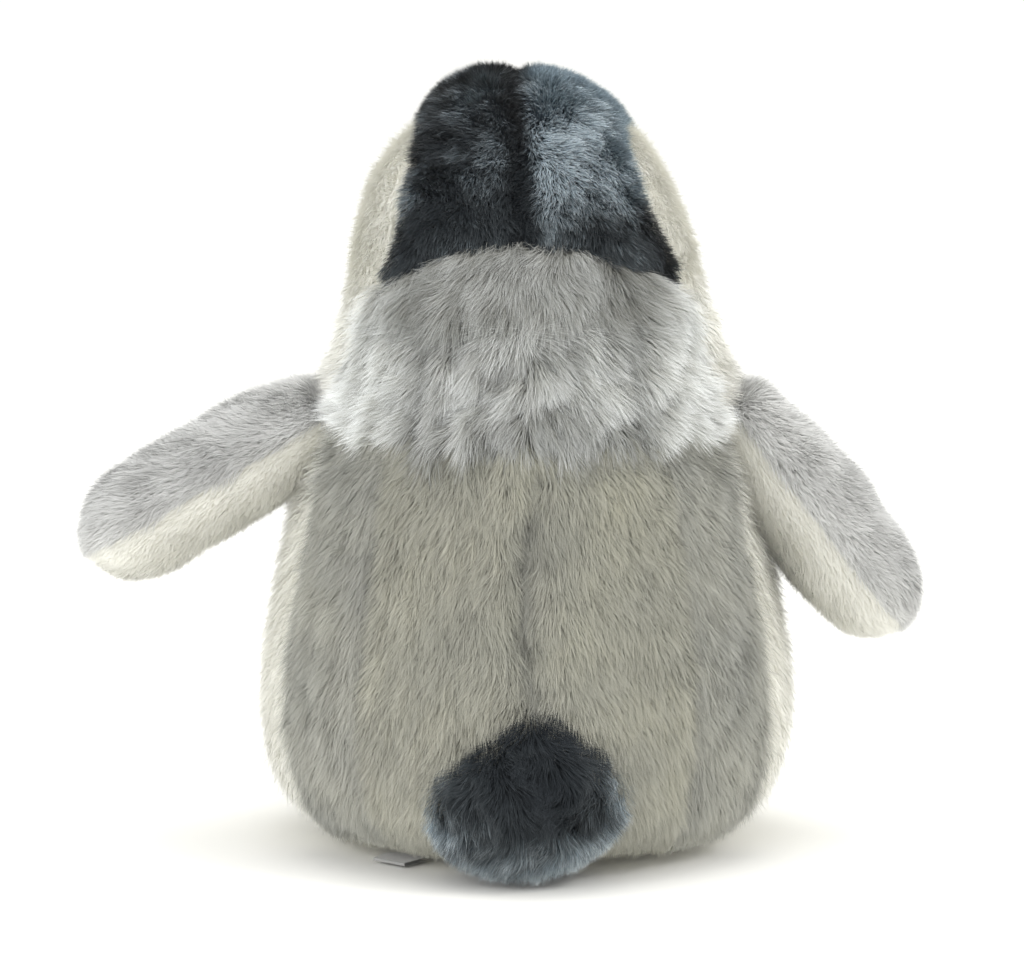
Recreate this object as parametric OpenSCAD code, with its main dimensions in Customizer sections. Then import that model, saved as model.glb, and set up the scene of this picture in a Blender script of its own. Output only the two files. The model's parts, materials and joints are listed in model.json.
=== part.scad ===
// Plush penguin chick, sitting upright: sewn fur panels over stuffing, two hinged flippers and a turning head.
// Millimetres. +Z up, the penguin faces -Y, its left side is +X.
// The origin is the middle of the base, on the floor.

/* [Trunk and head] */
// Height of the crown above the floor
height = 237; // [215:1:285]
// Radius of the flat base on the floor
base_r = 56; // [46:1:66]
// Greatest radius of the trunk, at the hips
hip_r = 80; // [72:1:96]
// Height of the hips
hip_z = 42; // [34:1:52]
// Radius of the neck, which is also the radius of the head
neck_r = 55; // [48:1:62]
// Height of the neck, where the head turns
neck_z = 162; // [150:1:190]
// How slim the flanks are between hips and neck
flank_curve = 1.3; // [1:0.05:1.6]
// Thickness of a fur panel on the trunk, backing cloth and pile
trunk_pile = 8; // [5:0.5:10]
// Thickness of a fur panel on the head, backing cloth and pile
head_pile = 7; // [4:0.5:9]

/* [Seams of the trunk] */
// Height of the seam round the base panel
base_seam_z = 5; // [3:0.5:9]
// Height of the seam between the back and the yoke
yoke_z = 126; // [112:1:140]
// Angle from the spine to the seam between back panel and side panel
back_seam_a = 39; // [30:1:48]
// Angle from the spine to the seam between side panel and belly panel
side_seam_a = 66; // [54:1:80]
// Angle from the spine to the seam between yoke and shoulder panel
yoke_seam_a = 32; // [24:1:40]

/* [Markings of the head] */
// Half width of the dark cap at its lower edge
cap_half_w = 46; // [40:1:50]
// Half width of the dark cap near the crown
cap_top_half_w = 33; // [26:1:38]
// Height of the cap's lower edge at the spine
cap_arch_z = 186; // [176:1:194]
// Radius of the arch of the cap's lower edge
cap_arch_r = 68; // [60:1:100]
// Height of the cap's peak, above the beak
cap_peak_z = 196; // [190:1:206]
// Distance of the cap's peak in front of the head's axis
cap_peak_y = 45; // [38:1:50]

/* [Flippers] */
// Distance of a flipper's shoulder line outside the trunk's outline
shoulder_out = 1.2; // [-1:0.1:6]
// Height of the shoulder lines
shoulder_z = 126.5; // [115:0.5:138]
// Droop of the left flipper at rest, below the horizontal
left_droop = 29; // [10:1:50]
// Droop of the right flipper at rest, below the horizontal
right_droop = 51; // [10:1:52]
// Steepest droop of a flipper
droop_max = 58; // [54:1:60]
// Highest lift of a flipper above the horizontal
lift_max = 35; // [20:1:45]
// Length of a flipper from its shoulder line to its tip
flipper_len = 79; // [66:1:95]
// Half thickness of a flipper at its root
flipper_root_t = 11; // [8:0.5:13]
// Half thickness of a flipper at its middle
flipper_mid_t = 17; // [13:0.5:20]
// Half thickness of a flipper at its tip
flipper_tip_t = 12; // [9:0.5:14]
// Greatest width of a flipper, front to back
flipper_w = 52; // [44:1:60]
// Thickness of a fur panel on a flipper
flipper_pile = 6; // [4:0.5:8]
// Clearance round pieces that move
gap = 0.6; // [0.4:0.1:1.2]

/* [Tail and feet] */
// Radius of the round end of the tail
tail_r = 25; // [20:0.5:27]
// Distance from the middle plane to each of the tail's two round ends
tail_spread = 5; // [3:0.5:9]
// Distance of the tail's centre inside the trunk's greatest radius
tail_seat = 14; // [6:0.5:18]
// Height of the tail's point
tail_top_z = 52; // [46:1:60]
// Thickness of a fur panel on the tail
tail_pile = 5; // [4:0.5:7]
// Height of the tail above the floor
tail_lift = 1.5; // [1:0.5:3]
// Distance from the middle plane to a foot
foot_x = 29; // [26:0.5:34]
// Distance of the toe tips outside the trunk's greatest radius
foot_out = 19; // [14:1:30]
// Radius of a toe
toe_r = 8.5; // [7:0.5:10]
// Angle between neighbouring toes
toe_a = 15; // [12:1:18]
// Thickness of a foot's cloth
foot_cloth = 2; // [1.5:0.5:3]

/* [Beak and eyes] */
// Height of the line of the mouth
mouth_z = 190; // [184:1:196]
// Length of the beak in front of the head's axis
beak_reach = 77; // [68:1:84]
// Radius of the beak at its root
beak_r = 11; // [8:0.5:12]
// Height of the eyes
eye_z = 200; // [196:1:206]
// Angle from straight ahead to each eye
eye_a = 37; // [30:1:46]
// Radius of an eye
eye_r = 5.5; // [4.5:0.25:6.5]
// Radius of an eye's shank
shank_r = 1.8; // [1.5:0.1:2.2]
// Radius of the washer on an eye's shank
washer_r = 7.5; // [6.5:0.5:9]

/* [Filling and label] */
// Radius of the bag of pellets
pellet_r = 42; // [34:1:48]
// Height of the bag of pellets
pellet_h = 22; // [16:1:28]
// Thickness of the pellet bag's cloth
bag_cloth = 1; // [0.5:0.5:1.5]
// Width of the care label
label_w = 12; // [9:0.5:16]
// Length of the care label outside the seam
label_len = 9; // [7:0.5:11]
// Thickness of the care label
label_t = 0.6; // [0.4:0.1:1]

/* [Hidden] */

$fn = 64;
ball_fn = 24;       // facets of the balls that blend the flippers and the tail
toe_fn = 16;        // facets of the balls that blend the feet
spine = 90;         // direction of the spine, as an angle round Z
big = 400;          // larger than the penguin
steps = 14;         // straight pieces in each stretch of the outline
slate = [0.24, 0.27, 0.30];
silver = [0.70, 0.70, 0.68];
dove = [0.62, 0.62, 0.58];
cream = [0.90, 0.89, 0.82];
charcoal = [0.12, 0.12, 0.13];
white = [0.95, 0.95, 0.95];

// The outline from the rim of the base (s = 0) over hips (1) and neck (2) to the crown (3), as [radius, height].
function outer(s) =
    s <= 1 ? [base_r + (hip_r - base_r) * sin(90 * s), hip_z * (1 - cos(90 * s))]
    : s <= 2 ? [neck_r + (hip_r - neck_r) * pow(cos(90 * (s - 1)), flank_curve), hip_z + (neck_z - hip_z) * (s - 1)]
    : [neck_r * cos(90 * (s - 2)), neck_z + (height - neck_z) * sin(90 * (s - 2))];

// The unit normal of the outline, pointing out.
function along(s) = outer(min(s + 0.01, 3)) - outer(max(s - 0.01, 0));
function outward(s) = s <= 0 ? [0, -1] : s >= 3 ? [0, 1] : [along(s)[1], -along(s)[0]] / norm(along(s));
function inner(s, depth) = s >= 3 ? [0, height - depth] : outer(s) - depth * outward(s);

// Where a height lies on the outline.
function s_base(z) = acos(1 - z / hip_z) / 90;
function s_flank(z) = 1 + (z - hip_z) / (neck_z - hip_z);
function s_head(z) = 2 + asin((z - neck_z) / (height - neck_z)) / 90;

seam_base = s_base(base_seam_z);
seam_yoke = s_flank(yoke_z);
shoulder_x = outer(s_flank(shoulder_z))[0] + shoulder_out;
neck_low = s_flank(neck_z - gap / 2);
neck_high = s_head(neck_z + gap / 2);

function stretch(a, b, n) = [for (i = [0 : n]) a + (b - a) * i / n];
rim = stretch(0, seam_base, steps / 2);
flank = concat(stretch(seam_base, 1, steps / 2), stretch(1 + 1 / steps, seam_yoke, steps));
collar = stretch(seam_yoke, neck_low, steps / 2);
function ring(points, depth) = concat(
    [for (s = points) outer(s)],
    [for (i = [len(points) - 1 : -1 : 0]) inner(points[i], depth)]);

// A fur panel: a sector of the outline's skin between two angles from the spine, towards +X.
module panel(points, from_a, to_a) {
    rotate([0, 0, spine - to_a]) rotate_extrude(angle = to_a - from_a) polygon(points);
}
module trunk_panel(from_a, to_a) {
    panel(ring(flank, trunk_pile), from_a, to_a);
}
module yoke_panel(from_a, to_a) {
    panel(ring(collar, trunk_pile), from_a, to_a);
}

// The whole trunk and head as solids, for what is fitted against them.
module trunk_solid() {
    rotate_extrude() polygon(concat([[0, 0]],
        [for (part = [rim, flank, collar], s = part) outer(s)],
        [[0, outer(neck_low)[1]]]));
}
module head_solid(depth) {
    rotate_extrude() polygon(concat([[0, outer(neck_high)[1]]],
        [for (s = stretch(neck_high, 3, steps)) inner(s, depth)]));
}

// Everything that a flipper sweeps at its two limits, with clearance, in the plane of its swing.
module tapered_bar(len, r1, r2) {
    lean = acos((r1 - r2) / len);
    circle(r = r1);
    translate([len, 0]) circle(r = r2);
    polygon([r1 * [cos(lean), sin(lean)], r1 * [cos(lean), -sin(lean)],
        [len, 0] + r2 * [cos(lean), -sin(lean)], [len, 0] + r2 * [cos(lean), sin(lean)]]);
}
module shoulder_pocket() {
    translate([shoulder_x, 0, shoulder_z]) rotate([90, 0, 0])
        linear_extrude(height = flipper_w + 2 * gap, center = true)
            for (a = [lift_max, -droop_max]) rotate(a) {
                tapered_bar(flipper_mid_at, flipper_root_t + gap, flipper_mid_t + gap);
                translate([flipper_mid_at, 0])
                    tapered_bar(flipper_far_at - flipper_mid_at, flipper_mid_t + gap, flipper_far_t + gap);
            }
}
module pockets() {
    shoulder_pocket();
    mirror([1, 0, 0]) shoulder_pocket();
}

// ---- trunk panels ----
module back_left() { color(dove) difference() { trunk_panel(0, back_seam_a); pockets(); } }
module back_right() { color(dove) difference() { trunk_panel(-back_seam_a, 0); pockets(); } }
module side_left() { color(dove) difference() { trunk_panel(back_seam_a, side_seam_a); pockets(); } }
module side_right() { color(dove) difference() { trunk_panel(-side_seam_a, -back_seam_a); pockets(); } }
module belly() { color(cream) difference() { trunk_panel(side_seam_a, 360 - side_seam_a); pockets(); } }
module yoke() { color(silver) yoke_panel(-yoke_seam_a, yoke_seam_a); }
module shoulder_left() { color(silver) difference() { yoke_panel(yoke_seam_a, side_seam_a); pockets(); } }
module shoulder_right() { color(silver) difference() { yoke_panel(-side_seam_a, -yoke_seam_a); pockets(); } }
module chest() { color(cream) difference() { yoke_panel(side_seam_a, 360 - side_seam_a); pockets(); } }
module base() {
    color(cream) rotate_extrude() polygon(concat([[0, trunk_pile], [0, 0]],
        ring(rim, trunk_pile)));
}

// ---- filling of the trunk ----
module bag(inset) {
    translate([0, 0, trunk_pile + inset]) cylinder(r = pellet_r - inset, h = pellet_h - 2 * inset);
}
module body_stuffing() {
    color(white) difference() {
        rotate_extrude() polygon(concat([[0, trunk_pile]],
            [for (part = [rim, flank, collar], s = part) inner(s, trunk_pile)],
            [[0, inner(neck_low, trunk_pile)[1]]]));
        bag(0);
        pockets();
    }
}
module pellet_bag() { color(white) difference() { bag(0); bag(bag_cloth); } }
module pellets() { color(charcoal) bag(bag_cloth); }

// ---- tail ----
tail_y = hip_r - tail_seat;
tail_z = tail_r + tail_lift;
tail_point_r = 9;   // radius of the tail's point
module tail_shape(inset) {
    difference() {
        hull() {
            for (x = [-tail_spread, tail_spread]) translate([x, tail_y, tail_z]) sphere(r = tail_r - inset, $fn = ball_fn);
            translate([0, tail_y, tail_top_z - tail_point_r])
                sphere(r = tail_point_r - inset, $fn = ball_fn);
        }
        trunk_solid();
    }
}
module above(z) { translate([-big, -big, z]) cube([2 * big, 2 * big, big]); }
module below(z) { translate([-big, -big, z - big]) cube([2 * big, 2 * big, big]); }
module tail_upper() { color(slate) difference() { tail_shape(0); tail_shape(tail_pile); below(tail_z); } }
module tail_under() { color(slate) difference() { tail_shape(0); tail_shape(tail_pile); above(tail_z); } }
module tail_stuffing() { color(white) tail_shape(tail_pile); }

// ---- feet ----
foot_reach = hip_r + foot_out;
foot_len = 46;      // from heel to toe tips
heel_y = foot_reach - foot_len + toe_r;
toe_len = foot_len - 2 * toe_r;
module foot_shape(side, inset) {
    difference() {
        for (a = [-toe_a, 0, toe_a]) hull() {
            translate([side * foot_x, -heel_y, toe_r]) sphere(r = toe_r + 2 - inset, $fn = toe_fn);
            translate([side * foot_x, -heel_y, toe_r]) rotate([0, 0, a]) translate([0, -toe_len, 0])
                sphere(r = toe_r - inset, $fn = toe_fn);
        }
        trunk_solid();
        below(inset);
    }
}
module foot_upper(side) {
    color(charcoal) difference() { foot_shape(side, 0); foot_shape(side, foot_cloth); below(foot_cloth); }
}
module foot_sole(side) { color(charcoal) intersection() { foot_shape(side, 0); below(foot_cloth); } }
module foot_stuffing(side) { color(white) foot_shape(side, foot_cloth); }
module foot_upper_left() { foot_upper(1); }
module foot_upper_right() { foot_upper(-1); }
module foot_sole_left() { foot_sole(1); }
module foot_sole_right() { foot_sole(-1); }
module foot_stuffing_left() { foot_stuffing(1); }
module foot_stuffing_right() { foot_stuffing(-1); }

// ---- care label, caught in the base seam where the left back and side panels meet ----
module care_label() {
    color(white) difference() {
        rotate([0, 0, spine - back_seam_a]) translate([outer(seam_base)[0] - 2, -label_w / 2, 1.5])
            cube([label_len + 2, label_w, label_t]);
        trunk_solid();
    }
}

// ---- head ----
cap_peak_w = 5;     // half width of the cap's peak
module cap_mask() {
    w_low = cap_half_w + (cap_half_w - cap_top_half_w) * (cap_arch_z - neck_z) / (height - cap_arch_z);
    intersection() {
        rotate([90, 0, 0]) linear_extrude(height = 2 * big, center = true)
            polygon([[-w_low, neck_z], [w_low, neck_z], [cap_top_half_w, height + 1], [-cap_top_half_w, height + 1]]);
        linear_extrude(height = big)
            polygon([[-big, big], [-big, 0], [-cap_half_w, 0], [-cap_peak_w, -cap_peak_y], [-cap_peak_w, -big],
                [cap_peak_w, -big], [cap_peak_w, -cap_peak_y], [cap_half_w, 0], [big, 0], [big, big]]);
        rotate([90, 0, 90]) linear_extrude(height = 2 * big, center = true)
            polygon([[big, 0], [0, 0], [0, neck_z], [-cap_peak_y, cap_peak_z], [-big, cap_peak_z],
                [-big, big], [big, big]]);
    }
}
module arch() {
    translate([0, 0, cap_arch_z - cap_arch_r]) rotate([-90, 0, 0]) cylinder(r = cap_arch_r, h = big);
}
module head_skin() { rotate_extrude() polygon(ring(stretch(neck_high, 3, steps), head_pile)); }
module half(side) { translate([side > 0 ? 0 : -big, -big, 0]) cube([big, 2 * big, big]); }

module cap(side) {
    color(slate) difference() {
        intersection() { head_skin(); cap_mask(); half(side); }
        arch();
    }
}
module cap_left() { cap(1); }
module cap_right() { cap(-1); }
module nape() {
    color(silver) intersection() { head_skin(); cap_mask(); arch(); }
}
module cheek(side) {
    color(cream) difference() {
        intersection() { head_skin(); half(side); }
        cap_mask();
        eye_hole(side);
    }
}
module cheek_left() { cheek(1); }
module cheek_right() { cheek(-1); }
module head_stuffing() {
    color(white) difference() {
        head_solid(head_pile);
        for (side = [-1, 1]) { eye_place(side) shank(); washer(side); }
    }
}

// ---- eyes: a domed button with a shank, held inside the head by a washer ----
eye_s = s_head(eye_z);
eye_seat = head_pile * 0.6;         // depth of the eye's flat back below the fur
eye_out = outward(eye_s);
module eye_place(side) {
    rotate([0, 0, -90 + side * eye_a])
        translate([inner(eye_s, eye_seat)[0], 0, inner(eye_s, eye_seat)[1]])
            rotate([0, atan2(eye_out[0], eye_out[1]), 0]) children();
}
module shank() { translate([0, 0, -head_pile - 6]) cylinder(r = shank_r, h = head_pile + 6); }
module eye_hole(side) {
    eye_place(side) {
        shank();
        cylinder(r = eye_r, h = 3 * head_pile);
    }
}
module eye(side) {
    color(charcoal) eye_place(side) {
        shank();
        intersection() {
            sphere(r = eye_r);
            cylinder(r = 2 * eye_r, h = 2 * eye_r);
        }
    }
}
module washer(side) {
    eye_place(side) translate([0, 0, -head_pile - 1])
        difference() { cylinder(r = washer_r, h = 1.5); cylinder(r = shank_r, h = 1.5); }
}
module eye_left() { eye(1); }
module eye_right() { eye(-1); }
module eye_washer_left() { color(white) washer(1); }
module eye_washer_right() { color(white) washer(-1); }

// ---- beak: two halves of a blunt cone, meeting at the line of the mouth ----
beak_tip_r = 2.5;
module beak_shape() {
    difference() {
        translate([0, 0, mouth_z]) rotate([90, 0, 0]) {
            cylinder(r = beak_r, h = neck_r - 8);
            translate([0, 0, neck_r - 8])
                cylinder(r1 = beak_r, r2 = beak_tip_r, h = beak_reach - neck_r + 8 - beak_tip_r);
            translate([0, 0, beak_reach - beak_tip_r]) sphere(r = beak_tip_r);
        }
        head_solid(0);
        translate([-big, 0, 0]) cube([2 * big, big, big]);
    }
}
module beak_upper() { color(charcoal) difference() { beak_shape(); below(mouth_z); } }
module beak_lower() { color(charcoal) difference() { beak_shape(); above(mouth_z); } }

// ---- flippers ----
flipper_mid_at = 30;
flipper_far_at = flipper_len - 28;
flipper_far_t = flipper_mid_t - 1;
flipper_tip_at = flipper_len - flipper_tip_t;
module pair(at, r, width, inset) {
    for (e = [-1, 1]) translate([at, e * (width / 2 - r), 0]) sphere(r = r - inset, $fn = ball_fn);
}
module flipper_shape(inset) {
    hull() {
        pair(0, flipper_root_t, flipper_w - 6, inset);
        pair(flipper_mid_at, flipper_mid_t, flipper_w, inset);
        pair(flipper_far_at, flipper_far_t, flipper_w - 4, inset);
        pair(flipper_tip_at, flipper_tip_t, flipper_w - 20, inset);
    }
}
module flipper_place(side, droop) {
    mirror([side > 0 ? 0 : 1, 0, 0]) translate([shoulder_x, 0, shoulder_z]) rotate([0, droop, 0]) children();
}
module flipper_top(side, droop) {
    color(silver) flipper_place(side, droop)
        difference() { flipper_shape(0); flipper_shape(flipper_pile); below(0); }
}
module flipper_under(side, droop) {
    color(cream) flipper_place(side, droop)
        difference() { flipper_shape(0); flipper_shape(flipper_pile); above(0); }
}
module flipper_stuffing(side, droop) { color(white) flipper_place(side, droop) flipper_shape(flipper_pile); }
module flipper_top_left() { flipper_top(1, left_droop); }
module flipper_under_left() { flipper_under(1, left_droop); }
module flipper_stuffing_left() { flipper_stuffing(1, left_droop); }
module flipper_top_right() { flipper_top(-1, right_droop); }
module flipper_under_right() { flipper_under(-1, right_droop); }
module flipper_stuffing_right() { flipper_stuffing(-1, right_droop); }

back_left();
back_right();
side_left();
side_right();
yoke();
shoulder_left();
shoulder_right();
chest();
belly();
base();
body_stuffing();
pellet_bag();
pellets();
tail_upper();
tail_under();
tail_stuffing();
foot_upper_left();
foot_upper_right();
foot_sole_left();
foot_sole_right();
foot_stuffing_left();
foot_stuffing_right();
care_label();
cap_left();
cap_right();
nape();
cheek_left();
cheek_right();
head_stuffing();
beak_upper();
beak_lower();
eye_left();
eye_right();
eye_washer_left();
eye_washer_right();
flipper_top_left();
flipper_under_left();
flipper_stuffing_left();
flipper_top_right();
flipper_under_right();
flipper_stuffing_right();
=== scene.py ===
import json
import math

import bpy
import numpy as np
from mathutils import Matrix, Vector


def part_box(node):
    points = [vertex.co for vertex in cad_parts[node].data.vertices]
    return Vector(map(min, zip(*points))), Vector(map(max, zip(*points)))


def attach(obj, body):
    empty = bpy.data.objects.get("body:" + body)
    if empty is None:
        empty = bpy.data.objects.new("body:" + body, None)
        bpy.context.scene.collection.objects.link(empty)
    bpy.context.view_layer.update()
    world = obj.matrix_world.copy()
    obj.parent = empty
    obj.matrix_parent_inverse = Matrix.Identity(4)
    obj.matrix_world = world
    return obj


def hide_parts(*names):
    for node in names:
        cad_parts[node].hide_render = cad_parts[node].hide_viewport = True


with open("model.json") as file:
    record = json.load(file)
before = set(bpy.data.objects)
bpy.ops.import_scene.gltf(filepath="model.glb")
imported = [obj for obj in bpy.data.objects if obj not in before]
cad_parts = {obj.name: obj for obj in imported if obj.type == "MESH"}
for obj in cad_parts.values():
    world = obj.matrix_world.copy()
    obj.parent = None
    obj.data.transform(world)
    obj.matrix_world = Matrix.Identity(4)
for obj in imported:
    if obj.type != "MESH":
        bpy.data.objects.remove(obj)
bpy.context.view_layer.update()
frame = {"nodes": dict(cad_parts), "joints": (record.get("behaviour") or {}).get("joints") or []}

# ---------------------------------------------------------------- studio
# A plain pale floor, three large soft lights and a pale room, and the camera behind the penguin and a little
# above it, a long lens a good way off.
bpy.context.scene.view_settings.view_transform = "Standard"

floor_size = 16.0
bpy.ops.mesh.primitive_plane_add(size=floor_size, location=(0, 0, 0))
floor = bpy.context.object
floor.name = "floor"
floor_paint = bpy.data.materials.new("studio_floor")
floor_paint.use_nodes = True
floor_shader = floor_paint.node_tree.nodes["Principled BSDF"]
floor_shader.inputs["Base Color"].default_value = (0.955, 0.95, 0.915, 1)
floor_shader.inputs["Roughness"].default_value = 0.9
floor_shader.inputs["Specular IOR Level"].default_value = 0.1
floor.data.materials.append(floor_paint)

room = bpy.data.worlds.new("studio_room")
bpy.context.scene.world = room
room.use_nodes = True
room.node_tree.nodes["Background"].inputs["Color"].default_value = (1.0, 1.0, 1.0, 1)
room.node_tree.nodes["Background"].inputs["Strength"].default_value = 1.1


def soft_light(name, place, aim, size, watts, tint):
    bpy.ops.object.light_add(type="AREA", location=place)
    lamp = bpy.context.object
    lamp.name = name
    lamp.data.shape = "DISK"
    lamp.data.size = size
    lamp.data.energy = watts
    lamp.data.color = tint
    lamp.rotation_mode = "QUATERNION"
    lamp.rotation_quaternion = (Vector(aim) - Vector(place)).to_track_quat("-Z", "Y")


middle = (0.0, 0.0, 0.12)
soft_light("key_light", (-1.15, 0.45, 1.05), middle, 0.5, 6.0, (1.0, 0.99, 0.97))
soft_light("fill_light", (1.1, 1.2, 0.6), middle, 1.2, 8.0, (0.97, 0.98, 1.0))
soft_light("top_light", (0.0, -0.2, 1.5), middle, 1.3, 8.0, (1.0, 1.0, 1.0))

camera_distance = 1.75
camera_rise = math.radians(9.0)
aim = Vector((0.0045, 0.0, 0.1085))
seen_width = 0.3125         # width of the view at the penguin, in metres
sensor_width = 36.0
bpy.ops.object.camera_add()
camera = bpy.context.object
camera.data.sensor_width = sensor_width
camera.data.lens = sensor_width * camera_distance / seen_width
camera.data.clip_start = 0.05
camera.data.clip_end = 40.0
away = Vector((0.0, math.cos(camera_rise), math.sin(camera_rise)))
camera.location = aim + away * camera_distance
camera.rotation_mode = "QUATERNION"
camera.rotation_quaternion = (-away).to_track_quat("-Z", "Y")
bpy.context.scene.camera = camera

# ---------------------------------------------------------------- trunk cover
# The trunk is a sack of fur fabric: back, side, belly, yoke and chest panels sewn edge to edge round a flat
# base. The cloth is drawn in at the seams and swells between them, and the pile is combed down over it.
mm = 0.001
neck_z = next(j["pos_m"][2] for j in frame["joints"] if j["name"] == "head_turn")
crown_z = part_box("cap_left")[1].z
hip_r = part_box("belly")[1].x
shoulder_z = next(j["pos_m"][2] for j in frame["joints"] if j["name"] == "left_flap")
neck_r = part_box("cheek_left")[1].x
yoke_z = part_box("yoke")[0].z
base_r = 56 * mm
hip_z = 42 * mm
flank_curve = 1.3
back_seam = math.radians(39)
side_seam = math.radians(66)
yoke_seam = math.radians(32)


def outline(s):
    """Radius and height of the sewn shape at s: 0 rim of the base, 1 hips, 2 neck, 3 crown."""
    s = np.asarray(s, float)
    quarter = math.pi / 2
    low = np.clip(s, 0, 1) * quarter
    flank = np.clip(s - 1, 0, 1)
    dome = np.clip(s - 2, 0, 1) * quarter
    flank_r = neck_r + (hip_r - neck_r) * np.cos(flank * quarter) ** flank_curve
    upper_r = np.where(s <= 2, flank_r, neck_r * np.cos(dome))
    r = np.where(s <= 1, base_r + (hip_r - base_r) * np.sin(low), upper_r)
    z = np.where(
        s <= 1,
        hip_z * (1 - np.cos(low)),
        np.where(s <= 2, hip_z + (neck_z - hip_z) * flank, neck_z + (crown_z - neck_z) * np.sin(dome)),
    )
    return r, z


def sack_profile(start, end, depth, rings):
    """Evenly spaced points from bottom centre to top centre of a closed sack, depth inside the outline."""
    s = np.linspace(start, end, 200)
    r, z = outline(s)
    dr, dz = np.gradient(r), np.gradient(z)
    size = np.hypot(dr, dz)
    r, z = r - depth * dz / size, z + depth * dr / size
    r = np.maximum(r, 0)
    line = np.column_stack([np.r_[0, r, 0], np.r_[z[0], z, z[-1]]])
    run = np.r_[0, np.cumsum(np.hypot(*np.diff(line, axis=0).T))]
    even = np.linspace(0, run[-1], rings + 1)
    return np.column_stack([np.interp(even, run, line[:, 0]), np.interp(even, run, line[:, 1])])


def coordinates(mesh):
    co = np.empty(len(mesh.vertices) * 3)
    mesh.vertices.foreach_get("co", co)
    return co.reshape(-1, 3)


def sew_sack(name, profile, segments):
    """A round closed cloth sack, made from a sphere whose rings are moved to the profile."""
    rings = len(profile) - 1
    bpy.ops.object.select_all(action="DESELECT")
    bpy.ops.mesh.primitive_uv_sphere_add(segments=segments, ring_count=rings, radius=1.0)
    sack = bpy.context.object
    sack.name = name
    co = coordinates(sack.data)
    ring = np.rint((1 - np.arccos(np.clip(co[:, 2], -1, 1)) / math.pi) * rings).astype(int)
    turn = np.arctan2(co[:, 1], co[:, 0])
    r, z = profile[ring].T
    co = np.column_stack([r * np.cos(turn), r * np.sin(turn), z])
    sack.data.vertices.foreach_set("co", co.ravel())
    sack.data.update()
    return sack


def ridge(distance, width):
    return np.exp(-((distance / width) ** 2))


def from_spine(p):
    """Angle from the spine, positive towards the left side."""
    return np.arctan2(p[:, 0], p[:, 1])


def step(x, low, high):
    t = np.clip((x - low) / (high - low), 0, 1)
    return t * t * (3 - 2 * t)


def stuff(sack, hold, most, pressure, frames=16):
    """Fills the sack: cloth under pressure swells between the held seams, no point further than most."""
    held = sack.vertex_groups.new(name="seams")
    for i, weight in enumerate(hold):
        if weight > 0.02:
            held.add([i], float(weight), "REPLACE")
    before = coordinates(sack.data)
    bpy.context.view_layer.objects.active = sack
    cloth = sack.modifiers.new("filling", "CLOTH")
    cloth.settings.quality = 5
    cloth.settings.mass = 0.2
    cloth.settings.tension_stiffness = 20
    cloth.settings.compression_stiffness = 20
    cloth.settings.shear_stiffness = 10
    cloth.settings.bending_stiffness = 0.5
    cloth.settings.use_pressure = True
    cloth.settings.uniform_pressure_force = pressure
    cloth.settings.vertex_group_mass = "seams"
    cloth.settings.effector_weights.gravity = 0
    cloth.collision_settings.use_self_collision = False
    cloth.point_cache.frame_end = frames
    for f in range(1, frames + 1):
        bpy.context.scene.frame_set(f)
    bpy.ops.object.modifier_apply(modifier=cloth.name)
    bpy.context.scene.frame_set(1)
    moved = coordinates(sack.data) - before
    far = np.linalg.norm(moved, axis=1)
    moved *= (np.minimum(far, most) / np.maximum(far, 1e-9))[:, None]
    sack.data.vertices.foreach_set("co", (before + moved).ravel())
    sack.data.update()


def waves(p, length, seed):
    """Smooth noise between about -1 and 1, with bumps of about that length."""
    rng = np.random.default_rng(seed)
    total = np.zeros(len(p))
    for _ in range(9):
        way = rng.normal(size=3)
        way *= rng.uniform(0.6, 1.5) * 2 * math.pi / length / np.linalg.norm(way)
        total += np.sin(p @ way + rng.uniform(0, 2 * math.pi))
    return total / 3.2


def unit(v):
    return v / np.maximum(np.linalg.norm(v, axis=1), 1e-12)[:, None]


class Skin:
    """The cloth that a pile is rooted in: its triangles, its smooth normals and where it lay before filling."""

    def __init__(self, sack, laid):
        mesh = sack.data
        mesh.calc_loop_triangles()
        tris = np.empty(len(mesh.loop_triangles) * 3, np.int64)
        mesh.loop_triangles.foreach_get("vertices", tris)
        self.tris = tris.reshape(-1, 3)
        self.co = coordinates(mesh)
        normals = np.empty(len(mesh.vertices) * 3)
        mesh.vertex_normals.foreach_get("vector", normals)
        self.normals = normals.reshape(-1, 3)
        self.laid = laid
        a, b, c = (self.co[self.tris[:, k]] for k in range(3))
        self.area = np.linalg.norm(np.cross(b - a, c - a), axis=1) / 2

    def middles(self):
        return self.laid[self.tris].mean(axis=1)

    def roots(self, per_mm2, keep, seed):
        """Places for strands, scattered evenly over the kept triangles, as place, normal and laid place."""
        rng = np.random.default_rng(seed)
        area = np.where(keep, self.area, 0)
        share = np.cumsum(area)
        count = int(share[-1] / mm**2 * per_mm2)
        at = (np.arange(count) + rng.uniform(0, 1, count)) / count * share[-1]
        pick = self.tris[np.minimum(np.searchsorted(share, at), len(area) - 1)]
        u, v = np.sqrt(rng.uniform(0, 1, count)), rng.uniform(0, 1, count)
        mix = np.column_stack([1 - u, u * (1 - v), u * v])[:, :, None]
        return (
            (self.co[pick] * mix).sum(1),
            unit((self.normals[pick] * mix).sum(1)),
            (self.laid[pick] * mix).sum(1),
        )


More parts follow.
